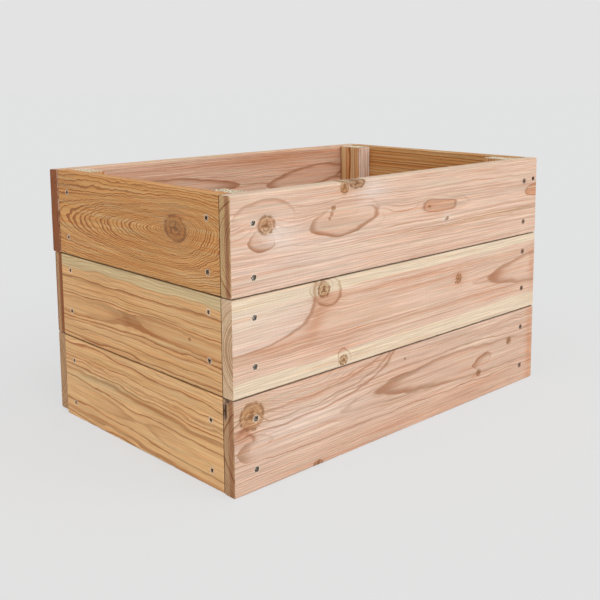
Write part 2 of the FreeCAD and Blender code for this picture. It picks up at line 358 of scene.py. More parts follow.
class GardenBedScrews(bpy.types.PropertyGroup):
    """The countersunk wood screws."""

    head_diameter: measure("Head diameter", 8.8, "Across the countersunk head")
    head_rim: measure("Head rim", 0.4, "Height of the straight rim of the head")
    head_sunk: measure("Head sunk", 0.5, "Depth of the head's top below the wood")
    head_clearance: measure("Head clearance", 0.1, "Gap all round the head")
    head_dip: measure("Head dip", 0.9, "How far the head's top is worn below its rim")
    shank_diameter: measure("Shank diameter", 3.3, "Across the plain shank")
    screw_length: measure("Length", 50.0, "From the head's top to the tip")
    thread_diameter: measure("Thread diameter", 4.5, "Across the thread's crests")
    thread_length: measure("Thread length", 30.0, "From the thread's start to the tip")
    thread_pitch: measure("Thread pitch", 2.2, "From one crest to the next")
    tip_length: measure("Tip length", 5.0, "Length of the pointed end")
    drive_lobe: measure("Drive lobes", 3.95, "Across the lobes of the socket")
    drive_waist: measure("Drive waist", 2.85, "Across the waists of the socket")
    drive_depth: measure("Drive depth", 2.0, "Depth of the socket")
    clearance_hole: measure("Clearance hole", 5.0, "Bore through the boards")
    turn_seed: IntProperty(name="Turn seed", description="Seed of the screws' turns", default=3)


class GardenBedStage(bpy.types.PropertyGroup):
    """The floor, the lights and the camera."""

    backdrop: tint("Backdrop", (0.768, 0.768, 0.768), "Floor and background")
    floor: tint("Floor", (0.80, 0.81, 0.82), "The floor's own colour, under the lights")
    shadow_share: amount("Shadow share", 0.25, "How much of the floor's light a shadow takes",
                         max=1, subtype="FACTOR")
    ambient: amount("Ambient", 0.55, "Strength of the light from all round")
    key: amount("Key light", 1.6, "Strength of the light on the front")
    fill: amount("Fill light", 0.45, "Strength of the light on the left")


def wood_settings():
    return bpy.context.scene.garden_bed_wood


def screw_settings():
    return bpy.context.scene.garden_bed_screws


# ---------------------------------------------------------------- where each bar lies

class Place:
    """A bar's size in millimetres, and the matrix from its own frame to the bed's."""

    def __init__(self, node, turn):
        low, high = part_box(node)
        corners = [turn.transposed() @ Vector(corner) for corner in (low, high)]
        first = Vector(map(min, *corners))
        last = Vector(map(max, *corners))
        self.node = node
        self.length, self.thick, self.width = (last - first) / MM
        middle = Vector(((first.x + last.x) / 2, first.y, first.z))
        self.matrix = (Matrix.Translation(turn @ middle) @ turn.to_4x4()) @ Matrix.Scale(MM, 4)

    def to_own(self, point):
        """A point of the bed's frame, in the bar's own millimetres."""
        return self.matrix.inverted() @ Vector(point)


def side_turn(side):
    """The turn from the front to a side."""
    return Matrix.Rotation(math.radians(SIDE_TURNS[side]), 3, "Z")


def board_place(side, tier):
    """Where a board lies. Its own z is up, and its outer face looks away from the bed."""
    return Place(f"{side}_board_{tier}", side_turn(side))


def batten_place(corner):
    """Where a batten lies. Its grain is upright, so own x is up, y is along the bed, z across."""
    upright = Matrix(((0, 1, 0), (0, 0, 1), (1, 0, 0)))
    return Place(f"corner_batten_{corner}", upright)


def screw_places(side, tier):
    """The tops of a board's four screw heads, in the bed's frame, and the way that they look."""
    turn = side_turn(side)
    low, high = (turn.transposed() @ Vector(c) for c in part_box(f"{side}_board_{tier}_screws"))
    radius = screw_settings().head_diameter / 2 * MM
    face = min(low.y, high.y)
    xs = (min(low.x, high.x) + radius, max(low.x, high.x) - radius)
    zs = (low.z + radius, high.z - radius)
    return [turn @ Vector((x, face, z)) for x in xs for z in zs], turn @ Vector((0, -1, 0))


# ---------------------------------------------------------------- a drilled bar as a mesh

# A hole: the face that it enters, its centre there, half the side of its square of cells, and its
# wall as rings of (radius, depth, bruise, torn), from the mouth inwards, where torn is how far the
# radius strays. through is True for a hole that leaves by the opposite face
Hole = namedtuple("Hole", "face along across reach wall through", defaults=(False,))


def spaced(low, high, stops, step):
    """Numbers from low to high, no further apart than step, with each stop among them."""
    marks = sorted({low, high, *(s for s in stops if low < s < high)})
    numbers = [low]
    for start, end in zip(marks, marks[1:]):
        cells = max(1, math.ceil((end - start) / step - 1e-6))
        numbers += [start + (end - start) * (k + 1) / cells for k in range(cells)]
    return numbers


class DrilledBar:
    """A bar with rounded arrises and holes, as points, outward directions and faces.

    bruise is above 0 where the fibres are crushed and pale, above about 1.1 where they are frayed
    and white, and below 0 where the walls and mouths of holes are darkened with painted shade.
    """

    ARC_CELLS = 4
    # How far the edge of a sawn end has turned at each of its sections, in degrees
    END_TURNS = (90, 50, 22)
    ON_MARK = 1e-4
    # Rings of a hole's wall that lie no deeper than this follow the face
    SHALLOW = 0.2

    def __init__(self, place, arris, end_round, holes, cell):
        self.place = place
        self.arris = arris
        self.points = []
        self.outward = []
        self.bruise = []
        self.faces = []
        self.outline = self._outline(holes, cell)
        self.stations = self._stations(end_round, holes, cell)
        self._sides(holes)
        self._end(0, -1)
        self._end(len(self.stations) - 1, 1)
        for hole in holes:
            self._drill(hole)

    def _stations(self, end_round, holes, cell):
        """(x, inset, lean) of each section: the ends are drawn in, and lean outwards."""
        half = self.place.length / 2
        stops = [h.along + s * h.reach for h in holes for s in (-1, 1)]
        inner = spaced(-half + end_round, half - end_round, stops, cell)
        steps = [(1 - math.cos(a), 1 - math.sin(a), math.sin(a))
                 for a in map(math.radians, self.END_TURNS)]
        left = [(-half + end_round * s, end_round * c, -lean) for c, s, lean in steps]
        right = [(-x, inset, -lean) for x, inset, lean in reversed(left)]
        return left + [(x, 0, 0) for x in inner] + right

    def _outline(self, holes, cell):
        """The section's points (y, z, face, across) with their directions, from the outer face's
        foot up, over the upper face, down the inner face and back along the lower one."""
        radius, thick, width = self.arris, self.place.thick, self.place.width

        def stops(*faces):
            return [h.across + s * h.reach for h in holes if h.face in faces for s in (-1, 1)]

        zs = spaced(radius, width - radius, stops(OUTER, INNER), cell)
        ys = spaced(radius, thick - radius, stops(UPPER, LOWER), cell)
        self.side_cells = len(zs) - 1 + self.ARC_CELLS
        self.edge_cells = len(ys) - 1 + self.ARC_CELLS
        points = [(0, z, -1, 0, OUTER, z) for z in zs]
        points += self._arc(radius, width - radius, 180)
        points += [(y, width, 0, 1, UPPER, y) for y in ys]
        points += self._arc(thick - radius, width - radius, 90)
        points += [(thick, z, 1, 0, INNER, z) for z in reversed(zs)]
        points += self._arc(thick - radius, radius, 0)
        points += [(y, 0, 0, -1, LOWER, y) for y in reversed(ys)]
        points += self._arc(radius, radius, 270)
        return points

    def _arc(self, y, z, start):
        """The points between two flats, round an arris, turning from start degrees by -90."""
        made = []
        for k in range(1, self.ARC_CELLS):
            angle = math.radians(start - 90 * k / self.ARC_CELLS)
            ny, nz = math.cos(angle), math.sin(angle)
            made.append((y + self.arris * ny, z + self.arris * nz, ny, nz, None, 0))
        return made

    def _add(self, point, outward, bruise=0.0):
        self.points.append(Vector(point))
        self.outward.append(Vector(outward))
        self.bruise.append(bruise)
        return len(self.points) - 1

    def _sides(self, holes):
        """The four faces and the arrises, but for the cells that the holes take."""
        self.grid = []
        for x, inset, lean in self.stations:
            flat = math.sqrt(1 - lean * lean)
            self.grid.append([
                self._add((x, y - ny * inset, z - nz * inset), (lean, ny * flat, nz * flat))
                for y, z, ny, nz, _, _ in self.outline])
        taken = set()
        for hole in holes:
            for face in (hole.face, OPPOSITE[hole.face])[:2 if hole.through else 1]:
                rows, columns = self._block(hole, face)
                taken |= {(i, j) for i in rows[:-1] for j in columns[:-1]}
        count = len(self.outline)
        for i in range(len(self.stations) - 1):
            here, there = self.grid[i], self.grid[i + 1]
            for j in range(count):
                if (i, j) not in taken:
                    k = (j + 1) % count
                    self.faces.append((here[j], there[j], there[k], here[k]))

    def _block(self, hole, face):
        """The rows and columns of the grid that a hole's square takes on a face."""
        near = hole.reach + self.ON_MARK
        rows = [i for i, (x, inset, _) in enumerate(self.stations)
                if abs(x - hole.along) < near and not inset]
        columns = [j for j, p in enumerate(self.outline)
                   if p[4] == face and abs(p[5] - hole.across) < near]
        return rows, columns

    def _end(self, station, way):
        """A sawn end: a grid of cells between the four sides of the section."""
        ring = self.grid[station]
        count = len(ring)
        middle = self.ARC_CELLS // 2
        start = count - middle

        def along(first, cells, step=1):
            return [ring[(first + step * k) % count] for k in range(cells + 1)]

        outer = along(start, self.side_cells)
        upper = along(start + self.side_cells, self.edge_cells)
        inner = along(start - self.edge_cells, self.side_cells, -1)
        lower = along(start, self.edge_cells, -1)
        last_p, last_q = self.edge_cells, self.side_cells
        grid = [[None] * (last_q + 1) for _ in range(last_p + 1)]
        for q in range(last_q + 1):
            grid[0][q], grid[last_p][q] = outer[q], inner[q]
        for p in range(last_p + 1):
            grid[p][0], grid[p][last_q] = lower[p], upper[p]
        at = self.points
        for p in range(1, last_p):
            u = p / last_p
            for q in range(1, last_q):
                v = q / last_q
                sides = at[outer[q]] * (1 - u) + at[inner[q]] * u
                edges = at[lower[p]] * (1 - v) + at[upper[p]] * v
                corners = (at[outer[0]] * (1 - u) * (1 - v) + at[inner[0]] * u * (1 - v)
                           + at[outer[-1]] * (1 - u) * v + at[inner[-1]] * u * v)
                grid[p][q] = self._add(sides + edges - corners, (way, 0, 0))
        for p in range(last_p):
            for q in range(last_q):
                cell = (grid[p][q], grid[p + 1][q], grid[p + 1][q + 1], grid[p][q + 1])
                self.faces.append(cell if way > 0 else cell[::-1])

    def _on_face(self, face, x, across, depth):
        """A point under a face, and the face's outward direction."""
        thick, width = self.place.thick, self.place.width
        return {
            OUTER: ((x, depth, across), (0, -1, 0)),
            INNER: ((x, thick - depth, across), (0, 1, 0)),
            UPPER: ((x, across, width - depth), (0, 0, 1)),
            LOWER: ((x, across, depth), (0, 0, -1)),
        }[face]

    def _loop(self, hole, face):
        """The grid's points round a hole's square, in the order of the entry face."""
        rows, columns = self._block(hole, face)
        if face != hole.face:
            columns = columns[::-1]
        pairs = [(i, columns[0]) for i in rows[:-1]]
        pairs += [(rows[-1], j) for j in columns[:-1]]
        pairs += [(i, columns[-1]) for i in reversed(rows[1:])]
        pairs += [(rows[0], j) for j in reversed(columns[1:])]
        return [self.grid[i][j] for i, j in pairs]

    def _drill(self, hole):
        """Lines a hole with rings of cells, from the square round its mouth to its end."""
        loop = self._loop(hole, hole.face)
        across = "z" if hole.face in (OUTER, INNER) else "y"
        ways = [math.atan2(getattr(point, across) - hole.across, point.x - hole.along)
                for point in (self.points[index] for index in loop)]
        rings = [loop]
        for radius, depth, bruise, torn in hole.wall:
            ring = []
            for way in ways:
                where = Vector((1.7 * math.cos(way), 1.7 * math.sin(way), hole.along + depth))
                stray = radius + torn * noise.noise(where)
                point, outward = self._on_face(
                    hole.face, hole.along + stray * math.cos(way),
                    hole.across + stray * math.sin(way), depth)
                flat = depth < self.SHALLOW
                ring.append(self._add(point, outward if flat else (0, 0, 0), bruise))
            rings.append(ring)
        if hole.through:
            opposite = OPPOSITE[hole.face]
            radius = hole.wall[-1][0]
            ring = []
            for way in ways:
                point, outward = self._on_face(
                    opposite, hole.along + radius * math.cos(way),
                    hole.across + radius * math.sin(way), 0)
                ring.append(self._add(point, outward))
            rings += [ring, self._loop(hole, opposite)]
        for outer, inner in zip(rings, rings[1:]):
            for k in range(len(outer)):
                n = (k + 1) % len(outer)
                self.faces.append((outer[k], outer[n], inner[n], inner[k]))
        if not hole.through:
            bottom = self._on_face(hole.face, hole.along, hole.across, hole.wall[-1][1])[0]
            centre = self._add(bottom, (0, 0, 0), hole.wall[-1][2])
            last = rings[-1]
            for k in range(len(last)):
                self.faces.append((last[k], last[(k + 1) % len(last)], centre))


# How long the dips of a sawn face and the worn places of an arris are, each way of the bar
DIP_SIZE = (95, 35, 42)
WEAR_SIZE = (17, 11, 11)
# How deep the groove round a knot is, and how much shallower it is towards the middle
KNOT_GROOVE, KNOT_CROWN = 0.22, 0.08
GROOVE_WIDTH = 0.12
# In a joint, painted shade darkens edges that face up or down by more than JOINT_LEAN, at
# JOINT_RATE up to JOINT_SHADE, and sawn ends as far as END_SHADE
JOINT_LEAN, JOINT_RATE, JOINT_SHADE, END_SHADE = 0.6, 1.6, 0.5, 0.8
# A hollow's painted shade is full where it is this deep
DARK_DEPTH = 4
# Edges that turn by more degrees than this stay sharp
BAR_SHARP, SCREW_SHARP = 50, 38


def unevenness(point, seed, depth):
    """How far a sawn face dips at a point, in millimetres."""
    where = Vector(a / b for a, b in zip(point, DIP_SIZE)) + Vector((seed, 0, seed))
    return depth * (0.5 + 0.5 * noise.noise(where))


def arris_wear(point, outward, seed, depth):
    """How far an arris is worn back at a point. Flat faces aren't."""
    corner = min(1.0, 4 * abs(outward.y * outward.z))
    if corner < 0.05:
        return 0.0
    where = Vector(a / b for a, b in zip(point, WEAR_SIZE)) + Vector((0, seed, 0))
    worn = max(0.0, noise.noise(where) + 0.35 * noise.noise(where * 4.1))
    return depth * corner * worn


def knot_relief(point, outward, knots):
    """The depth of the fine groove that rings each knot, at a point."""
    if abs(outward.y) < 0.7:
        return 0.0
    drop = 0.0
    for knot in knots:
        across = Euler((0, math.radians(knot.turn), 0)).to_matrix()
        local = across.transposed() @ Vector((point.x - knot.along, 0, point.z - knot.up))
        q = math.hypot(local.x / knot.length, local.z / knot.height)
        if q < 1.5:
            drop += KNOT_GROOVE * math.exp(-((q - 1) / GROOVE_WIDTH) ** 2)
            drop -= KNOT_CROWN * max(0.0, 1 - q)
    return drop


def hollow_depth(point, hollows):
    """The depth of the chipped and bark-lined places at a point."""
    depth = 0.0
    for hollow in hollows:
        q = math.sqrt(((point.x - hollow.along) / hollow.length) ** 2
                      + ((point.y - hollow.deep) / hollow.thick) ** 2
                      + ((point.z - hollow.up) / hollow.height) ** 2)
        rough = 0.55 + 0.9 * abs(noise.noise(point / 2.7)) + 0.3 * noise.noise(point / 9)
        depth += hollow.depth * max(0.0, 1 - q * q) * rough
    return depth


def joint_shade(outward, joints):
    """How much painted shade a point gets, by the way that it looks, where joints are with other
    boards.
    """
    if abs(outward.z) > JOINT_LEAN and (UPPER if outward.z > 0 else LOWER) in joints:
        return min(JOINT_SHADE, JOINT_RATE * (abs(outward.z) - JOINT_LEAN))
    if abs(outward.x) > 0.5 and ENDS in joints:
        return END_SHADE
    return 0.0


def bar_piece(place, holes, material, joints=()):
    """Makes one bar, and puts it in the place of its CAD node."""
    wood = wood_settings()
    log = log_of(place.node)
    bar = DrilledBar(place, wood.arris, wood.end_round, holes, wood.cell)
    hollows = HOLLOWS.get(place.node, ())
    pocket = []
    moved = []
    for point, outward, bruise in zip(bar.points, bar.outward, bar.bruise):
        drop = sunk = 0.0
        if outward.length_squared:
            drop = unevenness(point, log.seed, wood.unevenness)
            drop += arris_wear(point, outward, log.seed, wood.arris_wear)
            drop += max(0.0, knot_relief(point, outward, log.knots))
            sunk = hollow_depth(point, hollows)
        moved.append(place.matrix @ (point - outward * (drop + sunk)))
        # Painted shade: by a hollow's depth, on the darkened walls and mouths of holes, and in the
        # joints
        shade = joint_shade(outward, joints)
        pocket.append(min(1.0, max(sunk / DARK_DEPTH, -bruise, shade)))
    mesh = bpy.data.meshes.new(place.node)
    mesh.from_pydata(moved, [], bar.faces)
    pale = [max(0.0, bruise) for bruise in bar.bruise]
    for name, values in (("bruise", pale), ("pocket", pocket)):
        mesh.attributes.new(name, "FLOAT", "POINT").data.foreach_set("value", values)
    mesh.shade_smooth()
    mesh.set_sharp_from_angle(angle=math.radians(BAR_SHARP))
    mesh.materials.append(material)
    piece = in_scene(place.node + "_wood", mesh)
    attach(piece, BODY)
    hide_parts(place.node)


# ---------------------------------------------------------------- node trees

class Wire:
    """What a node puts out. Sums of wires, numbers and vectors add the nodes that work them out."""

    def __init__(self, graph, socket):
        self.graph = graph
        self.socket = socket

    def do(self, operation, *others):
        """One operation of the Math nodes, with this wire first."""
        return self.graph.math(operation, self, *others)

    def __add__(self, other):
        return self.do("ADD", other)

    def __sub__(self, other):
        return self.do("SUBTRACT", other)

    def __rsub__(self, other):
        return self.graph.math("SUBTRACT", other, self)

    def __mul__(self, other):
        return self.do("MULTIPLY", other)

    def __truediv__(self, other):
        return self.do("DIVIDE", other)

    def __pow__(self, other):
        return self.do("POWER", other)

    def __abs__(self):
        return self.do("ABSOLUTE")

    def max(self, other):
        return self.do("MAXIMUM", other)

    def step(self, low, high, to_low=0.0, to_high=1.0, rise="SMOOTHSTEP"):
        """A step from to_low at low to to_high at high."""
        return self.graph.node("ShaderNodeMapRange", {
            "Value": self, "From Min": low, "From Max": high, "To Min": to_low,
            "To Max": to_high}, "Result", interpolation_type=rise)


class Graph:
    """Adds nodes to a tree."""

    def __init__(self, tree):
        self.tree = tree
        tree.nodes.clear()

    def put(self, kind, inputs=(), **settings):
        """Adds a node, sets it up and feeds its inputs, which are named or numbered."""
        made = self.tree.nodes.new(kind)
        for name, value in settings.items():
            setattr(made, name, value)
        for key, value in dict(inputs).items():
            if isinstance(value, Wire):
                self.tree.links.new(value.socket, made.inputs[key])
            else:
                made.inputs[key].default_value = value
        return made

    def node(self, kind, inputs=(), output=0, **settings):
        """Adds a node, and returns one of its outputs."""
        return Wire(self, self.put(kind, inputs, **settings).outputs[output])

    def math(self, operation, *values):
        """Works values out together: as vectors, where one of them is a vector or a colour."""
        if not any(is_vector(value) for value in values):
            return self.node("ShaderNodeMath", enumerate(values), operation=operation)
        values = [value if is_vector(value) or isinstance(value, Wire) else (value,) * 3
                  for value in values]
        output = "Value" if operation in ("LENGTH", "DOT_PRODUCT") else "Vector"
        return self.node("ShaderNodeVectorMath", enumerate(values), output, operation=operation)

    def parts(self, vector):
        """The three parts of a vector."""
        made = self.put("ShaderNodeSeparateXYZ", {"Vector": vector})
        return [Wire(self, output) for output in made.outputs]

    def joined(self, x=0.0, y=0.0, z=0.0):
        """The vector of three parts."""
        return self.node("ShaderNodeCombineXYZ", {"X": x, "Y": y, "Z": z})

    def noise(self, where, detail=2.0, roughness=0.5, scale=1.0, output=0):
        """Noise in space, or along a line where a number says where."""
        line = not is_vector(where)
        return self.node("ShaderNodeTexNoise", {
            "W" if line else "Vector": where, "Scale": scale, "Detail": detail,
            "Roughness": roughness}, output, noise_dimensions="1D" if line else "3D")

    def mix(self, share, first, second):
        """A colour between two others."""
        return self.node("ShaderNodeMix", {0: share, 6: first, 7: second}, 2, data_type="RGBA")


def is_vector(value):
    """Whether a wire or a plain value is a vector or a colour."""
    if isinstance(value, Wire):
        return value.socket.type in ("VECTOR", "RGBA")
    return not isinstance(value, (int, float))


def socket_kind(value):
    """The kind of socket that fits a value. A string is the name of a kind."""
    if isinstance(value, str):
        return value
    if not is_vector(value):
        return "Int" if isinstance(value, int) else "Float"
    colour = value.socket.type == "RGBA" if isinstance(value, Wire) else len(value) == 4
    return "Color" if colour else "Vector"


def group(name, kind, inputs, outputs, build):
    """The node group of that name. It is made once, with a socket for each input and output.

    build takes the group's graph and its inputs by label, and returns what comes out by label.
    """
    if name in bpy.data.node_groups:
        return bpy.data.node_groups[name]
    tree = bpy.data.node_groups.new(name, kind)
    for way, sockets in (("INPUT", inputs), ("OUTPUT", outputs)):
        for label, value in sockets.items():
            made = tree.interface.new_socket(
                label, in_out=way, socket_type="NodeSocket" + socket_kind(value))
            if not isinstance(value, (str, Wire)):
                made.default_value = value
    graph = Graph(tree)
    given = graph.put("NodeGroupInput")
    take = {label: Wire(graph, given.outputs[label]) for label in inputs}
    graph.put("NodeGroupOutput", build(graph, take))
    return tree


def grouped(graph, name, inputs, outputs, build):
    """Passes the inputs through a shader group, and returns its outputs by label."""
    tree = group(name, "ShaderNodeTree", inputs, outputs, build)
    made = graph.put("ShaderNodeGroup", inputs, node_tree=tree)
    return {label: Wire(graph, made.outputs[label]) for label in outputs}


def new_material(name):
    """A material, and the graph of its empty tree."""
    material = bpy.data.materials.new(name)
    material.use_nodes = True
    return material, Graph(material.node_tree)


def rgba(colour):
    return (*colour, 1.0)


# ---------------------------------------------------------------- the marks of the wood

# The rim of a knot, in millimetres, and the most that it takes of a small knot
KNOT_EDGE = 2.4
KNOT_EDGE_SHARE = 0.25
# The most that the edge of a tongue takes of its height
TONGUE_EDGE_SHARE = 0.12
PLACING = ("along", "up", "length", "height", "turn")


def marked(graph, marks, build, spot, passed):
    """Passes values through one group for each mark, and returns what comes out of the last.

    The mark's own settings are inputs of its group, with its colour by the name in the settings.
    """
    for mark in marks:
        inputs = {**passed, "Spot": spot, "Centre": (mark.along, 0, mark.up),
                  "Turn": (0, -math.radians(mark.turn), 0),
                  "Size": (mark.length, 1000, mark.height)}
        for label, value in mark._asdict().items():
            if label == "colour":
                inputs[label] = rgba(getattr(wood_settings(), value))
            elif label not in PLACING:
                inputs[label] = float(value)
        passed = grouped(graph, type(mark).__name__, inputs, passed, build)
    return passed


def near_mark(graph, take):
    """The spot as a mark sees it: from its centre, along its own axes, in units of its size."""
    return graph.node("ShaderNodeMapping", {
        "Vector": take["Spot"], "Location": take["Centre"], "Rotation": take["Turn"],
        "Scale": take["Size"]}, vector_type="TEXTURE")


def faded(near, rate):
    """1 at a mark's centre, and less outwards."""
    return (near.do("DOT_PRODUCT", near) * -rate).do("EXPONENT")


def build_swell(graph, take):
    """Adds rings round a centre, fading outwards."""
    return {"Rings": faded(near_mark(graph, take), 1.0) * take["count"] + take["Rings"]}


def build_eye(graph, take):
    """Sinks a cone of rings into the field, steeper on its right and above its middle."""
    along, _, up = graph.parts(near_mark(graph, take))
    side = (along * take["lean"]).max(along * -1.0)
    crown = (up * take["crown"]).max(up * -1.0)
    reach = graph.joined(side, crown).do("LENGTH")
    cone = (1.0 - reach ** 0.6).do("SMOOTH_MAX", 0.0, 0.3)
    return {"Rings": take["Rings"] - cone * take["count"]}


def build_oval(graph, take):
    """Draws the outline of a ring's crest, and quietens and bends the lines near it."""
    near = near_mark(graph, take)
    along, _, up = graph.parts(near)
    round_reach = near.do("LENGTH")
    lens_reach = along * along + abs(up)
    reach = (lens_reach - round_reach) * 0.15 + round_reach
    inside = reach.step(1.05, 0.99)
    way = take["heavy"] * math.radians(1)
    heavy = graph.joined(way.do("COSINE"), 0.0, way.do("SINE"))
    side = near.do("NORMALIZE").do("DOT_PRODUCT", heavy)
    share = side.step(-0.7, 0.8, take["light"], 1.0, "LINEAR")
    start = 1.0 - take["fade"] * share
    shade = reach.step(start, 0.96, take["fade"] * 0.6, 1.0) * share
    strong = inside * (take["weight"] * 1.3).do("MINIMUM", 1.0)
    return {
        "Rings": (reach * reach * -0.7).do("EXPONENT") * take["pull"] + take["Rings"],
        "Line": take["Line"].max(inside * shade * take["weight"]),
        "Quiet": take["Quiet"].max(strong)}


def build_knot(graph, take):
    """Sinks a cone of rings into the field, and marks the knot, its rim, its pith and cracks."""
    near = near_mark(graph, take)
    along, _, up = graph.parts(near)
    length, _, height = graph.parts(take["Size"])
    edge = graph.math("DIVIDE", KNOT_EDGE, (length * height) ** 0.5).do("MINIMUM", KNOT_EDGE_SHARE)
    reach = near.do("LENGTH")
    cone = (1.0 - reach).do("SMOOTH_MAX", 0.0, 0.9)
    cone = (reach * reach * -0.3).do("EXPONENT") * 0.3 + cone
    rough = graph.noise(near * 1.9 + take["Centre"], detail=1)
    rim = reach.step(edge * -1.6 + 1.0, 1.0) * reach.step(edge * 1.6 + 1.0, 1.0)
    rim = rim * rough.step(0.38, 0.58, 0.15, 1.0)
    # Three crooked cracks run outwards from the pith, and broken rings lie between them
    arm = (rough * 1.6 + up.do("ARCTAN2", along) * (1.5 / math.pi)).do("FRACT")
    off = abs(arm - 0.5) * reach
    crack = (off / edge).step(0.5, 0.15) * reach.step(0.85, 0.45)
    ring = (reach * 2.6 + rough * 0.8).do("FRACT").step(0.5, 0.9) * reach.step(1.0, 0.9, 0, 0.5)
    core = (reach / edge).step(2.0, 0.8)
    return {
        "Rings": take["Rings"] - cone * take["count"],
        "Wood": take["Wood"].max(reach.step(1.12, 0.86)),
        "Rim": take["Rim"].max(rim * take["dark"]),
        "Pith": take["Pith"].max(core.max(crack).max(ring) * take["dark"])}


def build_stain(graph, take):
    """Tints a colour round a centre."""
    share = faded(near_mark(graph, take), 0.9) * take["share"]
    return {"Colour": graph.mix(share, take["Colour"], take["colour"])}


def build_calm(graph, take):
    """Quietens the lines of the rings round a centre."""
    return {"Quiet": take["Quiet"].max(faded(near_mark(graph, take), 0.9) * take["share"])}


def build_tongue(graph, take):
    """Tints a patch that has square shoulders, and draws a dark line round it.

    The reach is the cube root of the sum of the two cubes, 1 at the edge.
    """
    along, _, up = graph.parts(near_mark(graph, take))
    reach = (abs(along) ** 3.0 + abs(up) ** 3.0) ** (1 / 3)
    share = reach.step(1.02, 0.97) * take["share"]
    height = graph.parts(take["Size"])[2]
    width = (take["width"] / height).do("MINIMUM", TONGUE_EDGE_SHARE)
    edge = reach.step(width * -1.0 + 1.0, 1.0) * reach.step(width * 1.6 + 1.0, 1.0)
    return {"Colour": graph.mix(share, take["Colour"], take["colour"]),
            "Line": take["Line"].max(edge * take["edge"])}


# ---------------------------------------------------------------- materials

# What the finish reads from the wood's settings as it is
FINISH_COLOURS = ("latewood", "knot", "knot_rim", "bruise", "frayed", "grime")
# For each step of a bar's seed its finish is moved this far, and its marks' waves along the grain
SEED_SHIFT = (37.0, 11.0, 23.0)
MARK_SEED_SHIFT = 50.0
# Sawn wood reflects less than varnished wood
DULL_SPECULAR = 0.3


def build_finish(graph, take):
    """The sawn surface: ring lines, fibres, sapwood, saw marks, knots, bruises and painted shade.
    """
    seeded = take["Spot"] + take["Seed"] * SEED_SHIFT

    def grained(along, across, **settings):
        return graph.noise(seeded * (1 / along, 1 / across, 1 / across), **settings)

    def width(rings):
        return graph.noise(rings + take["Seed"], detail=1, scale=0.83)

    normal = graph.node("ShaderNodeNewGeometry", output="True Normal")
    end = abs(normal.do("DOT_PRODUCT", take["Grain"])).step(0.6, 0.9)
    fibre = grained(26, 0.55, detail=3, roughness=0.6)
    streak = grained(120, 1.7, detail=3, roughness=0.6)
    hue = grained(210, 5.5, roughness=0.6)
    blotch = grained(140, 30, detail=1)
    # Rings: uneven widths, a slow darkening and a sharp outer edge, each ring with its own weight.
    # On a sawn end only every second one shows
    rings = (take["Rings"] - take["Base"]) * end * -0.5 + take["Rings"]
    uneven = (width(rings) - width(take["Base"])) * 1.1 + rings
    ragged = (fibre - 0.5) * 0.16 + uneven
    part = ragged.do("FRACT") ** (end * -0.35 + 1.0)
    slow = part.step(0.25, 0.95)
    slow = slow * slow
    weight = graph.node("ShaderNodeTexWhiteNoise", {"W": ragged.do("FLOOR") + take["Seed"]},
                        noise_dimensions="1D")
    late = (slow + part.step(0.62, 0.90)) * part.step(1.0, 0.96, 0.0, 0.5)
    late = late * weight.step(0.0, 1.0, 0.35, 1.15) * streak.step(0.32, 0.58, 0.35, 1.1)
    late = late * blotch.step(0.3, 0.6, 0.75, 1.0) * (1.0 - take["Quiet"] * 0.8)
    sap = take["Sapwood Depth"].step(-0.3, 0.3)
    late = late * (sap * -0.45 + 1.0) * take["Late"].max(end * 1.3)
    line = take["Line"] * (end * -0.8 + 1.0) * streak.step(0.2, 0.7, 0.75, 1.0)
    late = late.do("MINIMUM", 1.0).max(line)
    # Colour of the early wood
    early = graph.mix(sap, take["Heartwood"], take["Sapwood"])
    early = graph.mix(hue.step(0.5, 0.72, 0.0, 0.45), early, take["Sapwood"])
    early = graph.mix(hue.step(0.5, 0.28, 0.0, 0.75), early, early * (0.93, 0.74, 0.62))
    early = graph.mix(end * 0.95, early, take["End Grain"])
    # Knots, and the dark lines over all
    early = graph.mix(take["Wood"], early, early * take["knot"])
    late = late.max(take["Wood"] * slow * 0.6)
    colour = graph.mix(late, early, early * take["latewood"])
    for dark in ("Rim", "Pith"):
        colour = graph.mix(take[dark] * 0.95, colour, take["knot_rim"])
    # Crushed fibres are pale and torn ones paler still. Painted shade darkens the joints, the
    # hollows and the holes, and the pits of torn sawn ends
    bruise, pocket = (graph.node("ShaderNodeAttribute", output="Fac", attribute_name=name)
                      for name in ("bruise", "pocket"))
    crushed = (fibre - 0.5 + bruise).step(0.3, 1.1)
    colour = graph.mix(crushed * 0.8, colour, take["bruise"])
    colour = graph.mix(bruise.step(1.1, 1.5), colour, take["frayed"])
    pits = graph.noise(seeded * (1 / 2.4), roughness=0.7).step(0.48, 0.58)
    pits = pits * end * take["Torn"] * bruise.step(0.9, 0.5)
    colour = graph.mix(pocket.max(pits * 0.9), colour, take["grime"])
    # The saw's marks cross the face aslant, as a bump and as a faint painted sheen that lightens
    # and darkens the colour
    along, _, up = graph.parts(seeded)
    saw = graph.noise(up * 0.10 + along, scale=0.42)
    light = streak.step(0.25, 0.75, 0.78, 1.17) * fibre.step(0.15, 0.85, 0.92, 1.08)
    light = light * saw.step(0.3, 0.7, 0.98, 1.018)
    height = fibre * 0.10 + late * 0.06 + saw * 0.06
    return {
        "Colour": colour * light,
        "Roughness": late.step(0.0, 1.0, 0.72, 0.55),
        "Normal": graph.node("ShaderNodeBump", {
            "Strength": 0.8, "Distance": MM, "Height": height})}


def shaken(graph, spot, grain, size, by):
    """The spot, moved by up to half of each number of by, where the noise is grain long."""
    stray = graph.noise(spot * (1 / grain, 1 / size, 1 / size), output=1)
    return spot + (stray - 0.5) * by


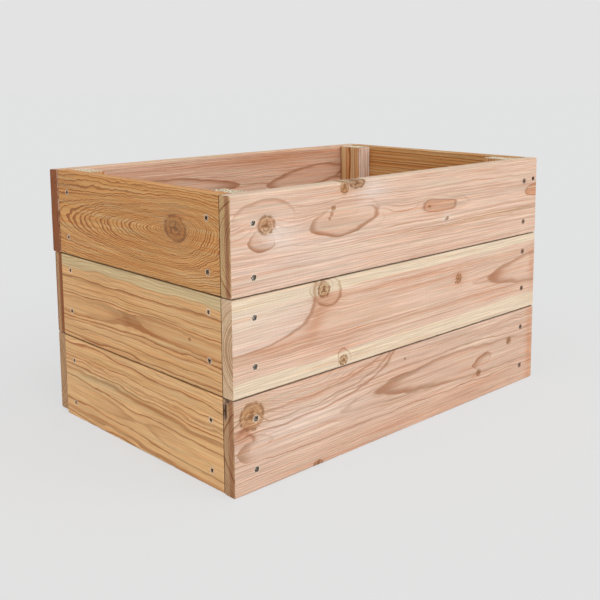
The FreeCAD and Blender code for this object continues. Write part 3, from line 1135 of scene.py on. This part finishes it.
def ring_field(graph, log, spot, thick):
    """The rings between the pith and a spot, before knots and other marks."""
    strayed = shaken(graph, spot, 110, 36, (0, 0.45 * log.wander, 2.0 * log.wander))
    strayed = shaken(graph, strayed, 20, 12, (0, 0, log.curl))
    along, deep, up = graph.parts(strayed)
    if log.seen == INNER:
        deep = thick - deep
    heart = along * (log.rise * MM) + log.heart
    away = graph.joined(up - heart, deep + log.deep * log.ring)
    return away.do("LENGTH") / log.ring


def wood_material(place):
    """The wood of one bar: its ring field and marks, then the shared finish."""
    log = log_of(place.node)
    wood = wood_settings()
    thick = place.thick
    material, graph = new_material(place.node + "_wood")
    inverse = place.matrix.inverted()
    spot = graph.node("ShaderNodeMapping", {
        "Vector": graph.node("ShaderNodeTexCoord", output="Object"),
        "Location": inverse.translation, "Rotation": inverse.to_euler(), "Scale": (1 / MM,) * 3})
    shift = (log.seed * MARK_SEED_SHIFT, 0, 0)
    drawn = shaken(graph, spot + shift, 55, 20, (26, 0, 11)) - shift
    waved = shaken(graph, drawn, 14, 10, (0.6 * log.curl, 0, log.curl))
    knotted = shaken(graph, spot, 8, 8, (4, 4, 4))
    plain = ring_field(graph, log, spot, thick)
    marks = marked(graph, log.swells, build_swell, drawn, {"Rings": plain})
    marks = marked(graph, log.eyes, build_eye, waved, marks)
    lines = marked(graph, log.ovals, build_oval, drawn, {**marks, "Line": 0.0, "Quiet": 0.0})
    marks = marked(graph, log.knots, build_knot, knotted, {
        "Rings": lines["Rings"], "Wood": 0.0, "Rim": 0.0, "Pith": 0.0})
    quiet = marked(graph, log.calms, build_calm, drawn, {"Quiet": lines["Quiet"]})
    base = rgba(log.tone * channel for channel in getattr(wood, log.base))
    colour = marked(graph, log.stains, build_stain, drawn, {"Colour": base})
    colour = marked(graph, log.tongues, build_tongue, drawn, {**colour, "Line": lines["Line"]})
    sawn = rgba(getattr(wood, log.end))
    if log.end_face:
        depth = graph.parts(knotted)[1]
        band = depth.step(0.06 * thick, 0.2 * thick) * depth.step(0.62 * thick, 0.4 * thick)
        sawn = graph.mix(band, sawn, rgba(getattr(wood, log.end_face)))
    finish = grouped(graph, "Sawn softwood", {
        **marks, **quiet, "Line": colour["Line"], "Spot": spot,
        "Grain": (place.matrix.to_3x3() @ Vector((1, 0, 0))).normalized(),
        "Base": float(log.deep), "Sapwood Depth": plain - (log.deep + log.sap_at),
        "Late": float(log.late), "Seed": float(log.seed), "Torn": float(log.torn),
        "Heartwood": colour["Colour"], "Sapwood": rgba(getattr(wood, log.sap)), "End Grain": sawn,
        **{name: rgba(getattr(wood, name)) for name in FINISH_COLOURS}},
        {"Colour": rgba(wood.heartwood), "Roughness": 0.5, "Normal": (0, 0, 0)}, build_finish)
    shader = graph.node("ShaderNodeBsdfPrincipled", {
        "Base Color": finish["Colour"], "Roughness": finish["Roughness"],
        "Normal": finish["Normal"], "Specular IOR Level": DULL_SPECULAR})
    graph.put("ShaderNodeOutputMaterial", {"Surface": shader})
    return material


def screw_material():
    """Dull stainless steel, with fine turning marks and dark blotches of painted shade where the
    heads sit sunk in their holes.
    """
    material, graph = new_material("screw_steel")
    spot = graph.node("ShaderNodeTexCoord", output="Object") * (1 / MM)
    # Dark blotches paint the shade of the sunken heads. The same noise roughens the steel
    grime = graph.noise(spot * (1 / 1.6), detail=3, roughness=0.6)
    fine = graph.noise(spot * (1 / 0.15))
    bump = graph.node("ShaderNodeBump", {"Strength": 0.35, "Distance": 0.1 * MM, "Height": fine})
    shader = graph.node("ShaderNodeBsdfPrincipled", {
        "Base Color": graph.mix(grime.step(0.42, 0.54), (0.60, 0.575, 0.53, 1),
                                (0.06, 0.042, 0.03, 1)),
        "Roughness": (fine * 0.3 + grime).step(0.3, 1.0, 0.28, 0.62),
        "Normal": bump, "Metallic": 1.0})
    graph.put("ShaderNodeOutputMaterial", {"Surface": shader})
    return material


# ---------------------------------------------------------------- torn fibres

# A sliver: where it is rooted, the way that it points, its length, width and height, all in the
# bar's own frame
Sliver = namedtuple("Sliver", "root way length width height")

SLIVER_INPUTS = {"Geometry": "Geometry", "Sides": 4, "Segments": 3, "Tip": 0.08, "Curl": 0.15,
                 "Paleness": 0.85, "Material": "Material"}
# How pale the fibres are: crushed round the screws, and frayed on the battens' tops
MOUTH_PALENESS = 0.85
END_PALENESS = 2.0
MOUTH_SLIVERS = 9
# From one sliver to the next on a batten's top
END_PITCH_Y, END_PITCH_Z = 3.4, 4.6


def build_slivers(graph, take):
    """Puts a pointed, curled sliver at every point, by the point's turn and size."""
    cone = graph.node("GeometryNodeMeshCone", {
        "Vertices": take["Sides"], "Side Segments": take["Segments"], "Radius Top": take["Tip"],
        "Radius Bottom": 0.5, "Depth": 1.0})
    laid = graph.node("GeometryNodeTransform", {
        "Geometry": cone, "Rotation": (0, math.pi / 2, 0)})
    along = graph.parts(graph.node("GeometryNodeInputPosition"))[0]
    bent = graph.node("GeometryNodeSetPosition", {
        "Geometry": laid, "Offset": graph.joined(z=along * along * take["Curl"])})
    turn, size = (named_vector(graph, name) for name in ("turn", "size"))
    real = planted(graph, take, bent, graph.node(
        "FunctionNodeEulerToRotation", {"Euler": turn}), size)
    pale = graph.node("GeometryNodeStoreNamedAttribute", {
        "Geometry": real, "Name": "bruise", "Value": take["Paleness"]},
        data_type="FLOAT", domain="POINT")
    return painted(graph, take, pale)


def named_vector(graph, name):
    return graph.node("GeometryNodeInputNamedAttribute", {"Name": name},
                      data_type="FLOAT_VECTOR")


def planted(graph, take, thing, rotation, scale=(1, 1, 1)):
    """A real copy of a thing at every point."""
    placed = graph.node("GeometryNodeInstanceOnPoints", {
        "Points": take["Geometry"], "Instance": thing, "Rotation": rotation, "Scale": scale})
    return graph.node("GeometryNodeRealizeInstances", {0: placed})


def painted(graph, take, geometry):
    """What a geometry group puts out: the geometry, with its material."""
    return {"Geometry": graph.node("GeometryNodeSetMaterial", {
        "Geometry": geometry, "Material": take["Material"]})}


def slivers_piece(place, slivers, material, paleness):
    """Makes the torn fibres of one bar."""
    axes = place.matrix.to_3x3().normalized()
    turns, sizes = [], []
    for sliver in slivers:
        way = (axes @ Vector(sliver.way)).normalized()
        up = Vector((0, 0, 1)) if abs(way.z) < 0.9 else Vector((0, 1, 0))
        side = up.cross(way).normalized()
        basis = Matrix((way, side, way.cross(side))).transposed()
        turns.append(basis.to_euler())
        sizes.append(Vector((sliver.length, sliver.width, sliver.height)) * MM)
    points = [place.matrix @ Vector(sliver.root) for sliver in slivers]
    name = place.node + "_torn_fibres"
    source = points_object(name + "_roots", points, {"turn": turns, "size": sizes})
    tree = group("Torn fibres", "GeometryNodeTree", SLIVER_INPUTS, {"Geometry": "Geometry"},
                 build_slivers)
    piece = grown(name, source, tree, {"Material": material, "Paleness": paleness})
    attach(piece, BODY)


def mouth_slivers(hole, draw):
    """The fibres that lean over a screw's head, rooted round the hole's mouth."""
    slivers = []
    for number in range(MOUTH_SLIVERS):
        side = 1 if number % 2 else -1
        turn = math.radians(draw.uniform(-60, 60))
        across = math.sin(turn)
        flat = math.cos(turn) * side
        reach = draw.uniform(5.0, 6.2)
        root = (hole.along + flat * reach, 0.45, hole.across + across * reach)
        way = (-side, draw.uniform(0.02, 0.14), draw.uniform(-0.35, 0.35) - 0.4 * across)
        slivers.append(Sliver(root, way, draw.uniform(1.5, 4.0), draw.uniform(0.5, 1.1),
                              draw.uniform(0.3, 0.5)))
    return slivers


def end_slivers(place, draw):
    """The fibres that the saw tore up on a batten's top."""
    slivers = []
    for i in range(int((place.thick - 3) / END_PITCH_Y)):
        for j in range(int((place.width - 4) / END_PITCH_Z)):
            root = (place.length / 2 - 0.3, 2 + (i + draw.uniform(0.1, 0.9)) * END_PITCH_Y,
                    2 + (j + draw.uniform(0.1, 0.9)) * END_PITCH_Z)
            way = (draw.uniform(0.05, 0.25), draw.uniform(-0.5, 0.2), 1)
            slivers.append(Sliver(root, way, draw.uniform(2.5, 5.0), draw.uniform(0.8, 1.6),
                                  draw.uniform(0.6, 1.2)))
    return slivers


# ---------------------------------------------------------------- boards and battens

# Half the side of the square of cells round the hole of a screw, a spare hole and a thread
SCREW_REACH, SPARE_REACH, THREAD_REACH = 9.0, 5.0, 4.5
# How wide the torn fibres leave a mouth, as a share of it, and how pale they are, up to 1, or
# below 0 how dark its painted shade is: at the left and the right of the long boards, and on the
# short ones
LEFT_MOUTH, RIGHT_MOUTH, SHORT_MOUTH = (0.84, 1.0), (0.59, -0.9), (0.66, 0.85)


def countersink(along, across, ragged, closed, pale):
    """The hole of a screw through a board. Torn fibres lean over the sunken head's rim."""
    screws = screw_settings()
    head = screws.head_diameter / 2
    mouth = head + screws.head_clearance
    bore = screws.clearance_hole / 2
    seat = screws.head_sunk + screws.head_rim
    lip = mouth * closed
    # A negative bruise paints shade: on the lip, the walls and the seat of the hole, and round the
    # whole mouth where pale is below 0
    wall = (
        (mouth + 3.4, 0.0, 0.0, 0.0), (mouth + 1.8, 0.03 * ragged, 0.6 * max(0, pale), 0.8),
        (lip + 0.9, 0.15 * ragged, pale, 1.4), (lip + 0.2, 0.35, 0.4 * pale, 1.9),
        (lip, 0.6, -0.9, 1.9),
        (mouth, 0.8, -1.0, 0.0), (mouth, seat, -1.0, 0.0), (head, seat, -1.0, 0.0),
        (bore, seat + head - bore, -0.5, 0.0),
    )
    return Hole(OUTER, along, across, SCREW_REACH, wall, True)


def spare_hole(along, across, radius, depth):
    """An empty blind hole in a board's outer face."""
    # A negative bruise paints shade on the rim and the walls of this hole
    wall = ((radius + 1.4, 0.0, 0.0, 0.0), (radius + 0.5, 0.1, -0.7, 0.9),
            (radius, 0.5, -1.0, 0.6), (radius * 0.9, depth * 0.6, -1.0, 0.0),
            (radius * 0.5, depth, -1.0, 0.0))
    return Hole(OUTER, along, across, SPARE_REACH, wall)


def make_board(side, tier):
    """One board, drilled for its four screws."""
    place = board_place(side, tier)
    draw = random.Random("holes of " + place.node)
    screwed = []
    for top in screw_places(side, tier)[0]:
        own = place.to_own(top)
        long_mouth = RIGHT_MOUTH if own.x > 0 else LEFT_MOUTH
        closed, pale = long_mouth if side in LONG_SIDES else SHORT_MOUTH
        screwed.append(countersink(own.x, own.z, draw.uniform(0.5, 1.6),
                                   closed + draw.uniform(-0.1, 0.1), pale))
    spare = [spare_hole(*hole) for hole in SPARE_HOLES.get(place.node, ())]
    joints = [face for face, last in ((UPPER, TIERS[-1]), (LOWER, TIERS[0])) if tier != last]
    if side in SHORT_SIDES:
        joints.append(ENDS)
    material = wood_material(place)
    slivers = [sliver for hole in screwed for sliver in mouth_slivers(hole, draw)]
    slivers_piece(place, slivers, material, MOUTH_PALENESS)
    bar_piece(place, screwed + spare, material, joints)


def batten_holes(place):
    """The blind holes that the screws cut in a batten, each from the face that it enters."""
    screws = screw_settings()
    radius = screws.thread_diameter / 2
    holes = []
    for side, tier in SIDES_AND_TIERS:
        tops, outward = screw_places(side, tier)
        for top in tops:
            tip = place.to_own(top - outward * screws.screw_length * MM)
            if not (0 < tip.y < place.thick and 0 < tip.z < place.width):
                continue
            way = (place.matrix.to_3x3().inverted() @ outward).normalized()
            if abs(way.y) > 0.5:
                face, across = (OUTER if way.y < 0 else INNER), tip.z
                depth = tip.y if face == OUTER else place.thick - tip.y
            else:
                face, across = (LOWER if way.z < 0 else UPPER), tip.y
                depth = tip.z if face == LOWER else place.width - tip.z
            wall = ((radius, 0.0, 0.0, 0.0), (radius, depth - screws.tip_length, 0.0, 0.0),
                    (0.3, depth, 0.0, 0.0))
            holes.append(Hole(face, tip.x, across, THREAD_REACH, wall))
    return holes


def make_batten(corner):
    """One corner batten, drilled by the screws that hold the boards."""
    place = batten_place(corner)
    material = wood_material(place)
    draw = random.Random("top of " + place.node)
    slivers_piece(place, end_slivers(place, draw), material, END_PALENESS)
    bar_piece(place, batten_holes(place), material)


# ---------------------------------------------------------------- screws

SCREW_SEGMENTS = 48


def lathe(profile, segments):
    """Points and faces of a (radius, z) profile turned about Z. It starts and ends on the axis."""
    points = [(0, 0, profile[0][1])]
    faces = []
    rings = []
    for radius, z in profile[1:-1]:
        rings.append(range(len(points), len(points) + segments))
        for k in range(segments):
            angle = 2 * math.pi * k / segments
            around = radius(angle) if callable(radius) else radius
            points.append((around * math.cos(angle), around * math.sin(angle), z))
    points.append((0, 0, profile[-1][1]))
    last = len(points) - 1
    for k in range(segments):
        n = (k + 1) % segments
        faces.append((0, rings[0][k], rings[0][n]))
        for outer, inner in zip(rings, rings[1:]):
            faces.append((outer[k], inner[k], inner[n], outer[n]))
        faces.append((rings[-1][k], last, rings[-1][n]))
    return points, faces


def screw_body():
    """A screw without its thread, in metres: its head's top at the origin, its tip down."""
    screws = screw_settings()
    head, shank = screws.head_diameter / 2, screws.shank_diameter / 2
    lobe, waist = screws.drive_lobe / 2, screws.drive_waist / 2
    length, tip, rim = screws.screw_length, screws.tip_length, screws.head_rim
    middle, swing = (lobe + waist) / 2, (lobe - waist) / 2

    def socket(scale):
        return lambda angle: scale * (middle + swing * math.cos(6 * angle))

    top = -screws.head_dip
    edge = head + rim + top
    profile = [
        (0, top - screws.drive_depth), (socket(0.55), top - screws.drive_depth),
        (socket(0.97), top - screws.drive_depth * 0.8), (socket(1.0), top - 0.12),
        (socket(1.06), top), (edge - 0.35, top), (edge, top - 0.2),
        (shank + 0.3, -(rim + head - shank - 0.3)),
        (shank, -(rim + head - shank) - 0.4), (shank, -(length - tip)), (0.3, -length + 0.2),
        (0, -length)]
    points, faces = lathe(profile, SCREW_SEGMENTS)
    mesh = bpy.data.meshes.new("screw_body")
    mesh.from_pydata([Vector(p) * MM for p in points], [], faces)
    mesh.shade_smooth()
    mesh.set_sharp_from_angle(angle=math.radians(SCREW_SHARP))
    return mesh


THREAD_SIZES = ("shank_diameter", "thread_diameter", "thread_length", "thread_pitch",
                "screw_length", "tip_length")


def build_screws(graph, take):
    """Puts a threaded screw at every point, looking along its outward attribute."""
    crest = (take["thread_diameter"] - take["shank_diameter"]) / 2.0
    radius = take["shank_diameter"] / 2.0
    run = take["thread_length"] - take["tip_length"]
    spiral = graph.node("GeometryNodeCurveSpiral", {
        "Resolution": 20, "Rotations": run / take["thread_pitch"], "Start Radius": radius,
        "End Radius": radius, "Height": run})
    section = graph.node("GeometryNodeCurvePrimitiveCircle", {"Resolution": 4, "Radius": crest},
                         mode="RADIUS")
    swept = graph.node("GeometryNodeCurveToMesh", {
        "Curve": spiral, "Profile Curve": section, "Fill Caps": True})
    thread = graph.node("GeometryNodeTransform", {
        "Geometry": swept,
        "Translation": graph.joined(z=take["tip_length"] - take["screw_length"])})
    body = graph.node("GeometryNodeObjectInfo", {"Object": take["Body"]}, "Geometry")
    whole = graph.put("GeometryNodeJoinGeometry")
    for part in (thread, body):
        graph.tree.links.new(part.socket, whole.inputs[0])
    facing = graph.node("FunctionNodeAlignRotationToVector", {
        "Vector": named_vector(graph, "outward")}, axis="Z")
    turn = graph.node("FunctionNodeRandomValue", {
        "Min": 0.0, "Max": 2 * math.pi, "Seed": take["Seed"]}, 1, data_type="FLOAT")
    spin = graph.node("FunctionNodeAxisAngleToRotation", {"Axis": (0, 0, 1), "Angle": turn})
    rotation = graph.node("FunctionNodeRotateRotation", {
        "Rotation": facing, "Rotate By": spin}, rotation_space="LOCAL")
    return painted(graph, take, planted(graph, take, Wire(graph, whole.outputs[0]), rotation))


def in_scene(name, data):
    """A new object of the scene."""
    made = bpy.data.objects.new(name, data)
    bpy.context.scene.collection.objects.link(made)
    return made


def points_object(name, points, attributes):
    """A mesh of loose points with vector attributes, for a node tree to read."""
    mesh = bpy.data.meshes.new(name)
    mesh.from_pydata(points, [], [])
    for label, values in attributes.items():
        flat = [part for value in values for part in value]
        mesh.attributes.new(label, "FLOAT_VECTOR", "POINT").data.foreach_set("vector", flat)
    return in_scene(name, mesh)


def grown(name, source, tree, values):
    """Runs a geometry tree on a source object, and returns the result as a plain mesh object."""
    modifier = source.modifiers.new(tree.name, "NODES")
    modifier.node_group = tree
    for item in tree.interface.items_tree:
        if item.in_out == "INPUT" and item.name in values:
            modifier[item.identifier] = values[item.name]
    bpy.context.view_layer.update()
    evaluated = source.evaluated_get(bpy.context.evaluated_depsgraph_get())
    mesh = bpy.data.meshes.new_from_object(evaluated)
    mesh.name = name
    source.modifiers.remove(modifier)
    bpy.data.objects.remove(source)
    return in_scene(name, mesh)


def make_screws():
    """The screws of every board, one piece for each board's four."""
    screws = screw_settings()
    steel = screw_material()
    sizes = {name: getattr(screws, name) * MM for name in THREAD_SIZES}
    tree = group("Wood screws", "GeometryNodeTree", {
        "Geometry": "Geometry", "Body": "Object", "Material": "Material",
        "Seed": screws.turn_seed, **sizes}, {"Geometry": "Geometry"}, build_screws)
    body = in_scene("screw_body", screw_body())
    for number, (side, tier) in enumerate(SIDES_AND_TIERS):
        node = f"{side}_board_{tier}_screws"
        tops, outward = screw_places(side, tier)
        source = points_object(node, tops, {"outward": [outward] * len(tops)})
        piece = grown(node + "_steel", source, tree, {
            "Body": body, "Material": steel, "Seed": screws.turn_seed + number})
        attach(piece, BODY)
        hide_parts(node)
    bpy.data.objects.remove(body)


# ---------------------------------------------------------------- the stage

# The camera that took the view: its place in metres, its turns in degrees, its lens and its shift
CAMERA_PLACE = (-1.14392, -1.22557, 0.60799)
CAMERA_AZIMUTH = -44.443
CAMERA_ELEVATION = 8.161
CAMERA_ROLL = -0.232
CAMERA_LENS = 55.126
CAMERA_SHIFT = (-0.0474, -0.1662)
SENSOR_WIDTH = 36
SIGHT = 100
FLOOR_SIZE = 40.0
KEY_AIM = (55, 0, 8)
FILL_AIM = (55, 0, -80)
SUN_SPREAD = 75


def make_camera():
    """The camera, at the height and distance that the boards' edges call for."""
    azimuth, elevation = math.radians(CAMERA_AZIMUTH), math.radians(CAMERA_ELEVATION)
    back = Vector((math.sin(azimuth) * math.cos(elevation),
                   -math.cos(azimuth) * math.cos(elevation), math.sin(elevation)))
    data = bpy.data.cameras.new("camera")
    data.sensor_width = SENSOR_WIDTH
    data.lens = CAMERA_LENS
    data.shift_x, data.shift_y = CAMERA_SHIFT
    data.clip_end = SIGHT
    camera = in_scene("camera", data)
    camera.location = CAMERA_PLACE
    level = (-back).to_track_quat("-Z", "Y").to_matrix()
    rolled = level @ Matrix.Rotation(math.radians(CAMERA_ROLL), 3, "Z")
    camera.rotation_euler = rolled.to_euler()
    bpy.context.scene.camera = camera


def seen_directly(graph):
    """1 for what the camera sees, also in reflections and through clear things. 0 for light."""
    camera, glossy, clear = (
        graph.node("ShaderNodeLightPath", output=ray)
        for ray in ("Is Camera Ray", "Is Glossy Ray", "Is Transmission Ray"))
    return camera.max(glossy).max(clear)


def make_floor(stage):
    """A pale floor that keeps a soft share of the bed's shadow."""
    mesh = bpy.data.meshes.new("floor")
    half = FLOOR_SIZE / 2
    mesh.from_pydata([(-half, -half, 0), (half, -half, 0), (half, half, 0), (-half, half, 0)],
                     [], [(0, 1, 2, 3)])
    floor = in_scene("floor", mesh)
    material, graph = new_material("floor")
    matt = graph.node("ShaderNodeBsdfDiffuse", {"Color": rgba(stage.floor)})
    glow = graph.node("ShaderNodeEmission", {"Color": rgba(stage.backdrop), "Strength": 1.0})
    share = seen_directly(graph) * (1.0 - stage.shadow_share)
    mixed = graph.node("ShaderNodeMixShader", {0: share, 1: matt, 2: glow})
    graph.put("ShaderNodeOutputMaterial", {"Surface": mixed})
    mesh.materials.append(material)


def make_world(stage):
    """Even light from all round, behind the plain backdrop that the camera sees."""
    world = bpy.data.worlds.new("studio")
    world.use_nodes = True
    bpy.context.scene.world = world
    graph = Graph(world.node_tree)
    light, backdrop = (
        graph.node("ShaderNodeBackground", {"Color": colour, "Strength": strength})
        for colour, strength in (((1, 1, 1, 1), stage.ambient), (rgba(stage.backdrop), 1.0)))
    mixed = graph.node("ShaderNodeMixShader", {0: seen_directly(graph), 1: light, 2: backdrop})
    graph.put("ShaderNodeOutputWorld", {"Surface": mixed})


def make_sun(name, strength, aim):
    """A wide, soft light from one way."""
    data = bpy.data.lights.new(name, "SUN")
    data.energy = strength
    data.angle = math.radians(SUN_SPREAD)
    in_scene(name, data).rotation_euler = [math.radians(a) for a in aim]


# ---------------------------------------------------------------- operators

def make_boards(sides):
    """The boards of some of the sides."""
    for side in sides:
        for tier in TIERS:
            make_board(side, tier)
    return {"FINISHED"}


class GARDENBED_OT_long_boards(bpy.types.Operator):
    """Make the front and back boards"""

    bl_idname = "gardenbed.long_boards"
    bl_label = "Front and back boards"

    def execute(self, context):
        return make_boards(LONG_SIDES)


class GARDENBED_OT_short_boards(bpy.types.Operator):
    """Make the left and right boards"""

    bl_idname = "gardenbed.short_boards"
    bl_label = "Left and right boards"

    def execute(self, context):
        return make_boards(SHORT_SIDES)


class GARDENBED_OT_battens(bpy.types.Operator):
    """Make the four corner battens"""

    bl_idname = "gardenbed.battens"
    bl_label = "Corner battens"

    def execute(self, context):
        for corner in BATTENS:
            make_batten(corner)
        return {"FINISHED"}


class GARDENBED_OT_screws(bpy.types.Operator):
    """Make the screws of every board"""

    bl_idname = "gardenbed.screws"
    bl_label = "Screws"

    def execute(self, context):
        make_screws()
        return {"FINISHED"}


class GARDENBED_OT_stage(bpy.types.Operator):
    """Make the floor, the lights and the camera"""

    bl_idname = "gardenbed.stage"
    bl_label = "Studio"

    def execute(self, context):
        stage = context.scene.garden_bed_stage
        make_camera()
        make_floor(stage)
        make_world(stage)
        make_sun("key", stage.key, KEY_AIM)
        make_sun("fill", stage.fill, FILL_AIM)
        context.scene.view_settings.view_transform = "Standard"
        return {"FINISHED"}


class GARDENBED_PT_panel(bpy.types.Panel):
    """Lists the bed's settings and the buttons that make its pieces"""

    bl_idname = "GARDENBED_PT_panel"
    bl_label = "Raised garden bed"
    bl_space_type = "VIEW_3D"
    bl_region_type = "UI"
    bl_category = "Garden bed"

    def draw(self, context):
        scene = context.scene
        for group_name in SETTINGS:
            settings = getattr(scene, group_name)
            box = self.layout.box()
            for name in settings.__annotations__:
                box.prop(settings, name)
        for operator in OPERATORS:
            self.layout.operator(operator.bl_idname)


SETTINGS = {
    "garden_bed_wood": GardenBedWood,
    "garden_bed_screws": GardenBedScrews,
    "garden_bed_stage": GardenBedStage,
}
OPERATORS = (
    GARDENBED_OT_stage,
    GARDENBED_OT_long_boards,
    GARDENBED_OT_short_boards,
    GARDENBED_OT_battens,
    GARDENBED_OT_screws,
)
CLASSES = (*SETTINGS.values(), *OPERATORS, GARDENBED_PT_panel)


def register():
    for cls in CLASSES:
        bpy.utils.register_class(cls)
    for name, cls in SETTINGS.items():
        setattr(bpy.types.Scene, name, PointerProperty(type=cls))


def unregister():
    for name in SETTINGS:
        delattr(bpy.types.Scene, name)
    for cls in reversed(CLASSES):
        bpy.utils.unregister_class(cls)


def main():
    """Makes every piece."""
    register()
    for operator in OPERATORS:
        family, name = operator.bl_idname.split(".")
        getattr(getattr(bpy.ops, family), name)()


if __name__ == "__main__":
    main()
